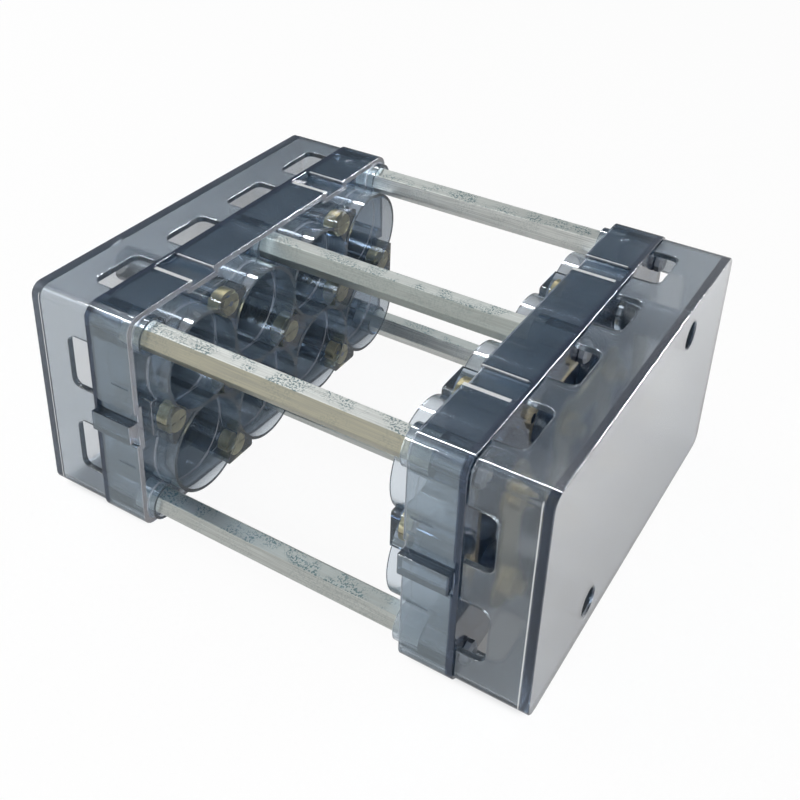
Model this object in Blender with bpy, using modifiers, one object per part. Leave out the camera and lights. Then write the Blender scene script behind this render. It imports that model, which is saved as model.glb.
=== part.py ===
"""Battery cell holder bracket: two clear end blocks, held apart by six hexagonal spacer posts.

X runs along the cells, Y across the columns and Z up. The origin is at the middle of the underside's box.
Each end block is a socket holder with a screwed cover over its contact plates.
"""

import math

import bmesh
import bpy
from mathutils import Matrix, Vector

MM = 0.001

# Cells that the bracket takes
CELL_DIAMETER = 33.0 * MM
CELL_BODY_LENGTH = 133.4 * MM
CELL_TERMINAL_HEIGHT = 3.3 * MM
CELL_CLEARANCE = 0.25 * MM
COLUMNS = 4
ROWS = 2

# Clearance between pieces that meet
SEAT = 0.3 * MM

# Hexagonal spacer posts
POST_ACROSS_FLATS = 9.0 * MM
POST_CLEARANCE = 0.5 * MM
POST_POCKET_DEPTH = 8.7 * MM
POST_THREAD_RADIUS = 1.95 * MM
POST_THREAD_DEPTH = 14.0 * MM
POST_SCREW_REACH = 11.0 * MM
POST_HEAD_RADIUS = 3.6 * MM
POST_HEAD_HEIGHT = 2.6 * MM
POST_TURNS = {
    "top_front": 4.0,
    "top_middle": 0.0,
    "top_back": 14.0,
    "bottom_front": 12.0,
    "bottom_middle": 0.0,
    "bottom_back": 0.0,
}

# Socket holder
SOCKET_GAP = 1.0 * MM
CUP_WALL = 1.2 * MM
CUP_PROUD = 9.0 * MM
HOLDER_DEPTH = 18.4 * MM
FLOOR = 2.2 * MM
SKIRT = 2.0 * MM
CORNER_RADIUS = 5.2 * MM
BOSS_WALL = 1.0 * MM
BOSS_TO_SOCKET = 1.2 * MM
BOSS_IN_SKIRT = 0.5 * MM
CORNER_BOSS_PROUD = 3.0 * MM
MIDDLE_BOSS_SUNK = 2.5 * MM
TERMINAL_HOLE_RADIUS = 6.5 * MM
COLLAR_WALL = 3.0 * MM
COLLAR_HEIGHT = 3.0 * MM

# Threaded brass inserts and the plastic round them
INSERT_ACROSS_FLATS = 6.6 * MM
INSERT_LENGTH = 7.4 * MM
INSERT_WALL = 0.6 * MM
WEB_WALL = 2.8 * MM
WEB_COVER = 0.8 * MM
WEB_SUNK = 0.4 * MM
WEB_BITE = 1.0 * MM

# Grooves on the top, key on the front and its slot at the back
GROOVE_PLACE = 39.5 * MM
GROOVE_OPENING = 10.0 * MM
GROOVE_FLARE = 1.0 * MM
GROOVE_DEPTH = 2.5 * MM
GROOVE_FLOOR = 1.8 * MM
GROOVE_SIDE = 2.0 * MM
GROOVE_END = 1.7 * MM
KEY_NECK = 6.2 * MM
KEY_FLARE = 0.8 * MM
KEY_OUT = 3.15 * MM
CHANNEL_DEPTH = 1.3 * MM
CHANNEL_WIDTH = 3.3 * MM
CHANNEL_FLOOR = 2.0 * MM

# Cover
COVER_DEPTH = 24.5 * MM
COVER_INSET = 0.8 * MM
COVER_WALL = 2.0 * MM
COVER_END = 3.2 * MM
WINDOW_WIDTH = 21.0 * MM
SIDE_WINDOW_WIDTH = 20.0 * MM
WINDOW_DEPTH = 9.6 * MM
WINDOW_RADIUS = 3.0 * MM
TUBE_BORE_RADIUS = 4.8 * MM
TUBE_WALL = 1.2 * MM
TUBE_FLOOR = 2.0 * MM
TUBE_RIM = 0.5 * MM
COVER_SCREW_RADIUS = 1.45 * MM
COVER_HEAD_RADIUS = 2.9 * MM
COVER_HEAD_HEIGHT = 2.2 * MM
COVER_SCREW_REACH = 5.5 * MM

# Shape of a screw's head, as shares of its radius and height
HEAD_FLAT = 0.7
HEAD_EDGE = 0.65

# Contact plates
PLATE_THICKNESS = 1.0 * MM
PLATE_WIDTH = 12.0 * MM
PAD_RADIUS = 8.6 * MM
CONTACT_RADIUS = 4.5 * MM
STUD_RADIUS = 2.2 * MM
STUD_OUT = 5.8 * MM
NUT_ACROSS_FLATS = 8.0 * MM
NUT_HEIGHT = 3.4 * MM

# How round things are drawn
CUP_SIDES = 20
BOSS_SIDES = 12
COLLAR_SIDES = 12
SCREW_SIDES = 8
CORNER_SIDES = 3
PAST = 1.0 * MM

# Places that follow from the sizes
SOCKET_RADIUS = CELL_DIAMETER / 2 + CELL_CLEARANCE
CUP_RADIUS = SOCKET_RADIUS + CUP_WALL
PITCH = 2 * SOCKET_RADIUS + SOCKET_GAP
POST_POCKET_RADIUS = POST_ACROSS_FLATS / math.sqrt(3) + POST_CLEARANCE
BOSS_RADIUS = POST_POCKET_RADIUS + BOSS_WALL
POST_OFFSET = (SOCKET_RADIUS + BOSS_TO_SOCKET + POST_POCKET_RADIUS) / math.sqrt(2)
FACE_OFFSET = POST_OFFSET + BOSS_RADIUS + SKIRT - BOSS_IN_SKIRT
WIDTH = (COLUMNS - 1) * PITCH + 2 * FACE_OFFSET
HEIGHT = (ROWS - 1) * PITCH + 2 * FACE_OFFSET
SEAM_X = CELL_BODY_LENGTH / 2 + FLOOR
INNER_X = SEAM_X - HOLDER_DEPTH
RIM_X = INNER_X - CUP_PROUD
END_X = SEAM_X + COVER_DEPTH
BODY_Y = KEY_OUT / 2
MID_Z = HEIGHT / 2
COLUMN_Y = [(i - (COLUMNS - 1) / 2) * PITCH for i in range(COLUMNS)]
ROW_Z = [(i - (ROWS - 1) / 2) * PITCH for i in range(ROWS)]
POST_Y = COLUMN_Y[-1] + POST_OFFSET
POST_Z = ROW_Z[-1] + POST_OFFSET
POST_PLACES = {
    "top_front": (-POST_Y, POST_Z),
    "top_middle": (0.0, POST_Z),
    "top_back": (POST_Y, POST_Z),
    "bottom_front": (-POST_Y, -POST_Z),
    "bottom_middle": (0.0, -POST_Z),
    "bottom_back": (POST_Y, -POST_Z),
}
CORNER_RIM_X = INNER_X - CORNER_BOSS_PROUD
MIDDLE_RIM_X = INNER_X + MIDDLE_BOSS_SUNK
POST_END_X = CORNER_RIM_X + POST_POCKET_DEPTH
INSERT_POCKET_FLAT = INSERT_ACROSS_FLATS / 2 + SEAT
INSERT_POCKET_RADIUS = INSERT_POCKET_FLAT / math.cos(math.pi / 6)
INSERT_OFFSET = math.sqrt((SOCKET_RADIUS + INSERT_POCKET_RADIUS + INSERT_WALL) ** 2 - (PITCH / 2) ** 2)
WEB_OFFSET = INSERT_OFFSET + INSERT_POCKET_FLAT + WEB_COVER
WEB_HALF = INSERT_POCKET_RADIUS + WEB_WALL
WEB_X = RIM_X + WEB_SUNK
INSERT_X = WEB_X + SEAT
VALLEY_Y = [(COLUMN_Y[i] + COLUMN_Y[i + 1]) / 2 for i in range(COLUMNS - 1)]
WEB_Y = [y for y in VALLEY_Y if abs(y) > BOSS_RADIUS]
INSERT_Z = ROW_Z[-1] + INSERT_OFFSET
INSERT_Y = COLUMN_Y[-1] + INSERT_OFFSET
CHANNEL_END_X = SEAM_X - GROOVE_END
COLLAR_RADIUS = TERMINAL_HOLE_RADIUS + COLLAR_WALL
PLATE_X = SEAM_X + COLLAR_HEIGHT + SEAT
CONTACT_X = CELL_BODY_LENGTH / 2 + CELL_TERMINAL_HEIGHT + SEAT
TUBE_RADIUS = TUBE_BORE_RADIUS + TUBE_WALL


def start_scene():
    for old in list(bpy.data.objects):
        bpy.data.objects.remove(old, do_unlink=True)
    parts = bpy.data.collections.new("battery_cell_holder_bracket")
    tools = bpy.data.collections.new("cutters")
    for collection in (parts, tools):
        bpy.context.scene.collection.children.link(collection)
    tools.hide_render = True
    return parts, tools


PARTS, TOOLS = start_scene()


def material(name, colour, roughness, metallic=0.0, alpha=1.0):
    made = bpy.data.materials.new(name)
    made.use_nodes = True
    shader = made.node_tree.nodes["Principled BSDF"]
    shader.inputs["Base Color"].default_value = (*colour, 1.0)
    shader.inputs["Roughness"].default_value = roughness
    shader.inputs["Metallic"].default_value = metallic
    shader.inputs["Alpha"].default_value = alpha
    return made


SMOKY_PLASTIC = material("smoky_plastic", (0.10, 0.12, 0.14), 0.15, alpha=0.55)
ZINC_STEEL = material("zinc_steel", (0.62, 0.64, 0.62), 0.35, metallic=1.0)
BRASS = material("brass", (0.72, 0.58, 0.30), 0.35, metallic=1.0)
CONTACT_BRASS = material("contact_brass", (0.70, 0.62, 0.42), 0.3, metallic=1.0)
SCREW_STEEL = material("screw_steel", (0.35, 0.35, 0.36), 0.4, metallic=1.0)


def place(bm, x, y, z):
    """Moves a shape from the body's own middle to its place over the origin."""
    bmesh.ops.translate(bm, verts=bm.verts, vec=Vector((x, y + BODY_Y, z + MID_Z)))


def keep(name, bm, collection, finish=None):
    """Makes an object of a shape: a piece with its material, or a tool that stays out of the render."""
    bmesh.ops.recalc_face_normals(bm, faces=bm.faces)
    mesh = bpy.data.meshes.new(name)
    bm.to_mesh(mesh)
    bm.free()
    made = bpy.data.objects.new(name, mesh)
    collection.objects.link(made)
    if finish:
        mesh.materials.append(finish)
    if collection is not PARTS:
        made.hide_render = True
        made.display_type = "WIRE"
    return made


def block(name, low, high, collection, finish=None, radius=0.0, axis=0):
    """A box between two corners, with the four edges that run along one axis rounded."""
    bm = bmesh.new()
    bmesh.ops.create_cube(bm, size=1.0)
    size = Vector(high) - Vector(low)
    bmesh.ops.scale(bm, vec=size, verts=bm.verts)
    if radius:
        along = [e for e in bm.edges if abs((e.verts[0].co - e.verts[1].co)[axis]) > size[axis] / 2]
        bmesh.ops.bevel(bm, geom=along, offset=radius, segments=CORNER_SIDES, profile=0.5, affect="EDGES")
    place(bm, *((Vector(low) + Vector(high)) / 2))
    return keep(name, bm, collection, finish)


def span(side, near, far, y, z, half_y, half_z):
    """The two corners of a box on one side of the bracket, from its distances to the middle plane."""
    xs = sorted((side * near, side * far))
    return (xs[0], y - half_y, z - half_z), (xs[1], y + half_y, z + half_z)


def rod(name, side, near, far, y, z, radius, sides, collection, finish=None, far_radius=None, turn=0.0):
    """A round or many-sided bar along X."""
    bm = bmesh.new()
    ends = (radius, radius if far_radius is None else far_radius)
    bmesh.ops.create_cone(
        bm,
        cap_ends=True,
        segments=sides,
        radius1=ends[0],
        radius2=ends[1],
        depth=far - near,
    )
    bmesh.ops.rotate(bm, verts=bm.verts, matrix=Matrix.Rotation(side * math.pi / 2, 3, "Y"))
    bmesh.ops.rotate(bm, verts=bm.verts, matrix=Matrix.Rotation(turn, 3, "X"))
    place(bm, side * (near + far) / 2, y, z)
    return keep(name, bm, collection, finish)


def prism(name, side, near, far, outline, collection):
    """A flat outline in Y and Z, drawn out along X."""
    curve = bpy.data.curves.new(name, "CURVE")
    curve.dimensions = "2D"
    curve.fill_mode = "BOTH"
    curve.extrude = (far - near) / 2
    line = curve.splines.new("POLY")
    line.points.add(len(outline) - 1)
    for point, (y, z) in zip(line.points, outline):
        point.co = (y, z, 0.0, 1.0)
    line.use_cyclic_u = True
    drawn = bpy.data.objects.new(name + "_outline", curve)
    TOOLS.objects.link(drawn)
    turned = Matrix(((0, 0, 1, 0), (1, 0, 0, 0), (0, 1, 0, 0), (0, 0, 0, 1)))
    middle = Vector((side * (near + far) / 2, BODY_Y, MID_Z))
    drawn.matrix_world = Matrix.Translation(middle) @ turned
    bpy.context.view_layer.update()
    graph = bpy.context.evaluated_depsgraph_get()
    mesh = bpy.data.meshes.new_from_object(drawn.evaluated_get(graph))
    bm = bmesh.new()
    bm.from_mesh(mesh)
    bmesh.ops.remove_doubles(bm, verts=bm.verts, dist=0.01 * MM)
    bm.transform(drawn.matrix_world)
    bpy.data.objects.remove(drawn, do_unlink=True)
    return keep(name, bm, collection)


def tool_group(name):
    group = bpy.data.collections.new(name)
    TOOLS.children.link(group)
    return group


def carve(obj, operation, group):
    """Cuts or joins all the shapes of one group."""
    step = obj.modifiers.new(group.name, "BOOLEAN")
    step.operation = operation
    step.operand_type = "COLLECTION"
    step.collection = group
    step.solver = "EXACT"


def smooth(obj, degrees=35):
    obj.data.shade_smooth()
    obj.data.set_sharp_from_angle(angle=math.radians(degrees))


def socket_holder(side, name):
    """An open box toward the middle, with a floor at the seam, eight cups, six post bosses and insert posts."""
    low, high = span(side, INNER_X, SEAM_X, 0, 0, WIDTH / 2, HEIGHT / 2)
    holder = block(name, low, high, PARTS, SMOKY_PLASTIC, CORNER_RADIUS)
    first = tool_group(name + "_hollow")
    added = tool_group(name + "_added")
    cut = tool_group(name + "_cut")
    floor_x = SEAM_X - FLOOR
    rooted_x = SEAM_X - FLOOR / 2

    low, high = span(side, INNER_X - PAST, floor_x, 0, 0, WIDTH / 2 - SKIRT, HEIGHT / 2 - SKIRT)
    block(name + "_inside", low, high, first, radius=CORNER_RADIUS - SKIRT)
    channel_half = KEY_NECK / 2 + CHANNEL_WIDTH
    low, high = span(side, INNER_X - PAST, CHANNEL_END_X, -WIDTH / 2, 0, CHANNEL_DEPTH, channel_half)
    block(name + "_channel", low, high, first)

    for y in COLUMN_Y:
        for z in ROW_Z:
            rod(name + "_cup", side, RIM_X, rooted_x, y, z, CUP_RADIUS, CUP_SIDES, added)
            rod(name + "_socket", side, RIM_X - PAST, floor_x, y, z, SOCKET_RADIUS, CUP_SIDES, cut)
            collar_far = SEAM_X + COLLAR_HEIGHT
            rod(name + "_collar", side, rooted_x, collar_far, y, z, COLLAR_RADIUS, COLLAR_SIDES, added)
            hole_far = collar_far + PAST
            rod(name + "_hole", side, floor_x - PAST, hole_far, y, z, TERMINAL_HOLE_RADIUS, COLLAR_SIDES, cut)

    for y, z in POST_PLACES.values():
        rim = MIDDLE_RIM_X if y == 0 else CORNER_RIM_X
        rod(name + "_boss", side, rim, rooted_x, y, z, BOSS_RADIUS, BOSS_SIDES, added)
        pocket_end = POST_END_X + SEAT
        rod(name + "_pocket", side, rim - PAST, pocket_end, y, z, POST_POCKET_RADIUS, BOSS_SIDES, cut)
        hole = POST_THREAD_RADIUS + SEAT
        rod(name + "_post_hole", side, pocket_end - PAST, SEAM_X + PAST, y, z, hole, SCREW_SIDES, cut)

    inner_radius = PITCH / math.sqrt(2) - CUP_RADIUS + WEB_BITE
    web_root = math.sqrt(CUP_RADIUS**2 - (PITCH / 2) ** 2) - WEB_BITE
    web_middle = (WEB_OFFSET + web_root) / 2
    web_half = (WEB_OFFSET - web_root) / 2
    pocket_end = INSERT_X + INSERT_LENGTH + SEAT
    screw_hole = COVER_SCREW_RADIUS + SEAT
    for y, z, turned in insert_places():
        if z == 0 and abs(y) < COLUMN_Y[-1]:
            rod(name + "_post", side, WEB_X, rooted_x, y, z, inner_radius, BOSS_SIDES, added)
        elif z == 0:
            middle = math.copysign(COLUMN_Y[-1] + web_middle, y)
            low, high = span(side, WEB_X, rooted_x, middle, z, web_half, WEB_HALF)
            block(name + "_web", low, high, added)
        else:
            middle = math.copysign(ROW_Z[-1] + web_middle, z)
            low, high = span(side, WEB_X, rooted_x, y, middle, WEB_HALF, web_half)
            block(name + "_web", low, high, added)
            rod(name + "_screw_way", side, pocket_end - PAST, SEAM_X + PAST, y, z, screw_hole, SCREW_SIDES, cut)
        near = WEB_X - PAST
        rod(name + "_insert_pocket", side, near, pocket_end, y, z, INSERT_POCKET_RADIUS, 6, cut, turn=turned)

    add_grooves(name, side, added, cut)
    add_key_and_slot(name, side, added, cut)
    carve(holder, "DIFFERENCE", first)
    carve(holder, "UNION", added)
    carve(holder, "DIFFERENCE", cut)
    smooth(holder)
    return holder


def insert_places():
    """Where the brass inserts sit, and how each is turned to keep a flat toward the open side."""
    found = [(y, 0.0, 0.0) for y in VALLEY_Y]
    found += [(side * INSERT_Y, 0.0, math.pi / 6) for side in (-1, 1)]
    found += [(y, side * INSERT_Z, 0.0) for side in (-1, 1) for y in WEB_Y]
    return found


def add_grooves(name, side, added, cut):
    """Two undercut grooves along the top, with a thicker strip of wall below each."""
    top = HEIGHT / 2
    for y in (-GROOVE_PLACE, GROOVE_PLACE):
        half = GROOVE_OPENING / 2
        floor_z = top - GROOVE_DEPTH
        thick = (SKIRT / 2 + GROOVE_DEPTH + GROOVE_FLOOR - SKIRT) / 2
        middle = floor_z - GROOVE_FLOOR + thick
        low, high = span(side, INNER_X, SEAM_X - FLOOR / 2, y, middle, half + GROOVE_FLARE + GROOVE_SIDE, thick)
        block(name + "_groove_wall", low, high, added)
        flare = GROOVE_FLARE * PAST / GROOVE_DEPTH
        outline = [
            (y - half - GROOVE_FLARE, floor_z),
            (y + half + GROOVE_FLARE, floor_z),
            (y + half - flare, top + PAST),
            (y - half + flare, top + PAST),
        ]
        prism(name + "_groove", side, INNER_X - PAST, CHANNEL_END_X, outline, cut)


def add_key_and_slot(name, side, added, cut):
    """A dovetail key that stands out of the front, and a slot at the back for the next bracket's key."""
    front = -WIDTH / 2
    back = WIDTH / 2
    neck = KEY_NECK / 2
    wall_half = neck + CHANNEL_WIDTH + GROOVE_SIDE
    thick = CHANNEL_DEPTH + CHANNEL_FLOOR
    from_y = (CHANNEL_DEPTH + SKIRT) / 2
    rooted_x = SEAM_X - FLOOR / 2
    middle = front + (thick + from_y) / 2
    low, high = span(side, INNER_X, rooted_x, middle, 0, (thick - from_y) / 2, wall_half)
    block(name + "_key_wall", low, high, added)
    outline = [
        (front + thick - CHANNEL_FLOOR / 2, -neck),
        (front, -neck),
        (front - KEY_OUT, -neck - KEY_FLARE),
        (front - KEY_OUT, neck + KEY_FLARE),
        (front, neck),
        (front + thick - CHANNEL_FLOOR / 2, neck),
    ]
    prism(name + "_key", side, INNER_X, CHANNEL_END_X, outline, added)
    thick = KEY_OUT + SEAT + CHANNEL_FLOOR
    from_y = SKIRT / 2
    middle = back - (thick + from_y) / 2
    low, high = span(side, INNER_X, rooted_x, middle, 0, (thick - from_y) / 2, wall_half)
    block(name + "_slot_wall", low, high, added)
    deep = KEY_OUT + SEAT
    flare = KEY_FLARE * PAST / deep
    outline = [
        (back - deep, -neck - KEY_FLARE - SEAT),
        (back + PAST, -neck - SEAT + flare),
        (back + PAST, neck + SEAT - flare),
        (back - deep, neck + KEY_FLARE + SEAT),
    ]
    prism(name + "_slot", side, INNER_X - PAST, CHANNEL_END_X, outline, cut)


def tube_places(side):
    """The two screws of a cover stand on a diagonal. The second cover is the same moulding turned round."""
    return [(side * WEB_Y[-1], INSERT_Z), (-side * WEB_Y[-1], -INSERT_Z)]


def cover(side, name):
    """An open box over the contact plates, with windows in its rim and two deep screw tubes."""
    near = SEAM_X + SEAT
    half_y = WIDTH / 2 - COVER_INSET
    half_z = HEIGHT / 2 - COVER_INSET
    radius = CORNER_RADIUS - COVER_INSET
    low, high = span(side, near, END_X, 0, 0, half_y, half_z)
    made = block(name, low, high, PARTS, SMOKY_PLASTIC, radius)
    first = tool_group(name + "_hollow")
    added = tool_group(name + "_added")
    cut = tool_group(name + "_cut")
    low, high = span(side, near - PAST, END_X - COVER_END, 0, 0, half_y - COVER_WALL, half_z - COVER_WALL)
    block(name + "_inside", low, high, first, radius=radius - COVER_WALL)
    middle_x = SEAM_X + WINDOW_DEPTH
    reach = COVER_WALL + PAST
    for y in COLUMN_Y:
        for z in (-half_z, half_z):
            low, high = span(side, near - WINDOW_RADIUS - PAST, middle_x, y, z, WINDOW_WIDTH / 2, reach)
            block(name + "_window", low, high, cut, radius=WINDOW_RADIUS, axis=2)
    for z in ROW_Z:
        for y in (-half_y, half_y):
            low, high = span(side, near - WINDOW_RADIUS - PAST, middle_x, y, z, reach, SIDE_WINDOW_WIDTH / 2)
            block(name + "_side_window", low, high, cut, radius=WINDOW_RADIUS, axis=1)
    for y, z in tube_places(side):
        floor_x = near + TUBE_FLOOR
        rod(name + "_tube", side, near, END_X - COVER_END / 2, y, z, TUBE_RADIUS, COLLAR_SIDES, added)
        rod(name + "_bore", side, floor_x, END_X + PAST, y, z, TUBE_BORE_RADIUS, COLLAR_SIDES, cut)
        rim_near = END_X - TUBE_RIM
        wide = TUBE_BORE_RADIUS + TUBE_RIM + PAST
        rod(
            name + "_rim",
            side,
            rim_near,
            END_X + PAST,
            y,
            z,
            TUBE_BORE_RADIUS,
            COLLAR_SIDES,
            cut,
            far_radius=wide,
        )
        hole = COVER_SCREW_RADIUS + SEAT
        rod(name + "_hole", side, near - PAST, floor_x + PAST, y, z, hole, SCREW_SIDES, cut)
    carve(made, "DIFFERENCE", first)
    carve(made, "UNION", added)
    carve(made, "DIFFERENCE", cut)
    smooth(made)
    return made


def spacer_post(name, y, z, turn):
    radius = POST_ACROSS_FLATS / math.sqrt(3)
    post = rod(name, 1, -POST_END_X, POST_END_X, y, z, radius, 6, PARTS, ZINC_STEEL, turn=turn)
    cut = tool_group(name + "_cut")
    for side in (-1, 1):
        near = POST_END_X - POST_THREAD_DEPTH
        far = POST_END_X + PAST
        rod(name + "_thread", side, near, far, y, z, POST_THREAD_RADIUS + SEAT, SCREW_SIDES, cut)
    carve(post, "DIFFERENCE", cut)


def screw(name, side, head_x, tip_x, y, z, head_radius, head_height, radius):
    """A turned screw along X: its head's seat at head_x, its tip nearer the middle at tip_x."""
    length = head_x - tip_x
    profile = [
        (0.0, head_height),
        (head_radius * HEAD_FLAT, head_height),
        (head_radius, head_height * HEAD_EDGE),
        (head_radius, 0.0),
        (radius, 0.0),
        (radius, -length + radius / 2),
        (radius / 2, -length),
        (0.0, -length),
    ]
    mesh = bpy.data.meshes.new(name)
    points = [(r, 0.0, h) for r, h in profile]
    mesh.from_pydata(points, [(i, i + 1) for i in range(len(points) - 1)], [])
    made = bpy.data.objects.new(name, mesh)
    PARTS.objects.link(made)
    turned = made.modifiers.new("turned", "SCREW")
    turned.steps = SCREW_SIDES
    turned.render_steps = SCREW_SIDES
    turned.use_merge_vertices = True
    turned.merge_threshold = 0.01 * MM
    turned.use_smooth_shade = True
    made.rotation_euler = (0.0, side * math.pi / 2, 0.0)
    made.location = (side * head_x, y + BODY_Y, z + MID_Z)
    mesh.materials.append(SCREW_STEEL)
    return made


def insert(name, side, y, z, turned):
    made = rod(
        name,
        side,
        INSERT_X,
        INSERT_X + INSERT_LENGTH,
        y,
        z,
        INSERT_ACROSS_FLATS / math.sqrt(3),
        6,
        PARTS,
        BRASS,
        turn=turned,
    )
    cut = tool_group(name + "_cut")
    radius = COVER_SCREW_RADIUS + SEAT
    far = INSERT_X + INSERT_LENGTH + PAST
    rod(name + "_thread", side, INSERT_X - PAST, far, y, z, radius, SCREW_SIDES, cut)
    carve(made, "DIFFERENCE", cut)


def contact_plate(name, side, columns):
    """A strap over one or two columns of cells, with a contact, a stud and a nut over each cell."""
    cells = [(y, z) for y in columns for z in ROW_Z]
    added = tool_group(name + "_added")
    near = PLATE_X
    far = PLATE_X + PLATE_THICKNESS
    half = PLATE_WIDTH / 2
    first = True
    for y in columns:
        low, high = span(side, near, far, y, 0, half, ROW_Z[-1])
        if first:
            made = block(name, low, high, PARTS, CONTACT_BRASS)
            first = False
        else:
            block(name + "_strap", low, high, added)
    if len(columns) > 1:
        middle = (columns[0] + columns[-1]) / 2
        for z in ROW_Z:
            low, high = span(side, near, far, middle, z, (columns[-1] - columns[0]) / 2, half)
            block(name + "_strap", low, high, added)
    for y, z in cells:
        rod(name + "_pad", side, near, far, y, z, PAD_RADIUS, COLLAR_SIDES, added)
        middle_x = (near + far) / 2
        rod(name + "_contact", side, CONTACT_X, middle_x, y, z, CONTACT_RADIUS, SCREW_SIDES, added)
        rod(name + "_nut", side, middle_x, far + NUT_HEIGHT, y, z, NUT_ACROSS_FLATS / math.sqrt(3), 6, added)
        rod(name + "_stud", side, middle_x, far + STUD_OUT, y, z, STUD_RADIUS, SCREW_SIDES, added)
    carve(made, "UNION", added)
    return made


for block_name, block_side in (("left", -1), ("right", 1)):
    socket_holder(block_side, "holder_" + block_name)
    cover(block_side, "cover_" + block_name)
    for number, (at_y, at_z, turned_by) in enumerate(insert_places(), 1):
        insert("insert_%s_%d" % (block_name, number), block_side, at_y, at_z, turned_by)
    for post_name, (at_y, at_z) in POST_PLACES.items():
        screw(
            "post_screw_%s_%s" % (block_name, post_name),
            block_side,
            SEAM_X + SEAT,
            POST_END_X - POST_SCREW_REACH,
            at_y,
            at_z,
            POST_HEAD_RADIUS,
            POST_HEAD_HEIGHT,
            POST_THREAD_RADIUS,
        )
    for number, (at_y, at_z) in enumerate(tube_places(block_side), 1):
        screw(
            "cover_screw_%s_%d" % (block_name, number),
            block_side,
            SEAM_X + 2 * SEAT + TUBE_FLOOR,
            INSERT_X + INSERT_LENGTH - COVER_SCREW_REACH,
            at_y,
            at_z,
            COVER_HEAD_RADIUS,
            COVER_HEAD_HEIGHT,
            COVER_SCREW_RADIUS,
        )

for post_name, (at_y, at_z) in POST_PLACES.items():
    spacer_post("post_" + post_name, at_y, at_z, math.radians(POST_TURNS[post_name]))

contact_plate("contact_strip_front", 1, COLUMN_Y[:1])
contact_plate("contact_ring_right", 1, COLUMN_Y[1:3])
contact_plate("contact_strip_back", 1, COLUMN_Y[3:])
contact_plate("contact_ring_left_front", -1, COLUMN_Y[:2])
contact_plate("contact_ring_left_back", -1, COLUMN_Y[2:])
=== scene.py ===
import math

import bpy
from mathutils import Matrix, Vector


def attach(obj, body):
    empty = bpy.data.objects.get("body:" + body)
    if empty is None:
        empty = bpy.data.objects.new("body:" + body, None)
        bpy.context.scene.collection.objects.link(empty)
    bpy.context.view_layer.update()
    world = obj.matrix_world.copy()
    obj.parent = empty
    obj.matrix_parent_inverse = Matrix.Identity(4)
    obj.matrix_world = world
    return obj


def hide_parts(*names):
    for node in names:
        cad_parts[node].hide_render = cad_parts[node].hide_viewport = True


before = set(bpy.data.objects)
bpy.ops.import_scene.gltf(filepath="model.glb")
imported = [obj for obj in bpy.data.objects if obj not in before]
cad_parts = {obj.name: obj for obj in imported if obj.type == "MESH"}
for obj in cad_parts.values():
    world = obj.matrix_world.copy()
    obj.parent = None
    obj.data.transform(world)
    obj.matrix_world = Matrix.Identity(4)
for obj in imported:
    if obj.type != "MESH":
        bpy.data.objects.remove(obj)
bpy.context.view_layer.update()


# Camera
# The photographer stood in front and to the right, a little above, and framed the bracket low. The lens
# shift repeats most of that, and not all of it, so that turned views keep the bracket in the picture.
STAND_POINT = (0.1660, -0.2850, 0.2774)
azimuth, elevation, roll = math.radians(31.86), math.radians(28.97), math.radians(1.22)
back = Vector(
    (math.sin(azimuth) * math.cos(elevation), -math.cos(azimuth) * math.cos(elevation), math.sin(elevation))
)
right = Vector((0, 0, 1)).cross(back).normalized()
up = back.cross(right)
across = math.cos(roll) * right + math.sin(roll) * up
upward = math.cos(roll) * up - math.sin(roll) * right
camera_data = bpy.data.cameras.new("camera")
camera_data.sensor_width = 36.0
camera_data.lens = 50.97
camera_data.shift_x = 0.0447
camera_data.shift_y = -0.1991
camera_data.clip_start = 0.01
camera_data.clip_end = 20.0
camera = bpy.data.objects.new("camera", camera_data)
bpy.context.scene.collection.objects.link(camera)
stand = Matrix((across, upward, back)).transposed().to_4x4()
camera.matrix_world = Matrix.Translation(STAND_POINT) @ stand
bpy.context.scene.camera = camera
bpy.context.scene.view_settings.view_transform = "Standard"


# Light and floor
# A plain white sweep in a white studio, with soft boxes above, in front and at the left. Shiny surfaces
# mirror a room that is bright in front and darker behind. The class turns sums on shader values into nodes.
class Wire:
    def __init__(self, tree, socket=None):
        self.tree = tree
        self.socket = socket

    def node(self, kind, settings=None, **values):
        made = self.tree.nodes.new(kind)
        for key, value in (settings or {}).items():
            setattr(made, key, value)
        for name, value in values.items():
            key = int(name[1:]) if name[0] == "_" and name[1:].isdigit() else name.replace("_", " ")
            if isinstance(value, Wire):
                self.tree.links.new(value.socket, made.inputs[key])
            else:
                made.inputs[key].default_value = value
        return made

    def out(self, made, name=0):
        return Wire(self.tree, made.outputs[name])

    def maths(self, operation, *values):
        sockets = {"_%d" % place: value for place, value in enumerate(values)}
        return self.out(self.node("ShaderNodeMath", {"operation": operation}, **sockets))

    def __add__(self, other):
        return self.maths("ADD", self, other)

    def __radd__(self, other):
        return self.maths("ADD", other, self)

    def __sub__(self, other):
        return self.maths("SUBTRACT", self, other)

    def __rsub__(self, other):
        return self.maths("SUBTRACT", other, self)

    def __mul__(self, other):
        return self.maths("MULTIPLY", self, other)

    def __rmul__(self, other):
        return self.maths("MULTIPLY", other, self)

    def slope(self, low, high, bottom=0.0, top=1.0):
        """Runs smoothly from bottom to top while this value goes from low to high."""
        made = self.node(
            "ShaderNodeMapRange",
            {"interpolation_type": "SMOOTHSTEP"},
            _0=self,
            _1=low,
            _2=high,
            _3=bottom,
            _4=top,
        )
        return self.out(made)

    def tint(self, first, second):
        """A colour that goes from first to second as this value goes from 0 to 1."""
        made = self.node("ShaderNodeMix", {"data_type": "RGBA"}, _0=self, _6=first, _7=second)
        return self.out(made, 2)


def new_material(name):
    made = bpy.data.materials.new(name)
    made.use_nodes = True
    made.node_tree.nodes.clear()
    return made, Wire(made.node_tree), made.node_tree.nodes.new("ShaderNodeOutputMaterial")


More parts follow.
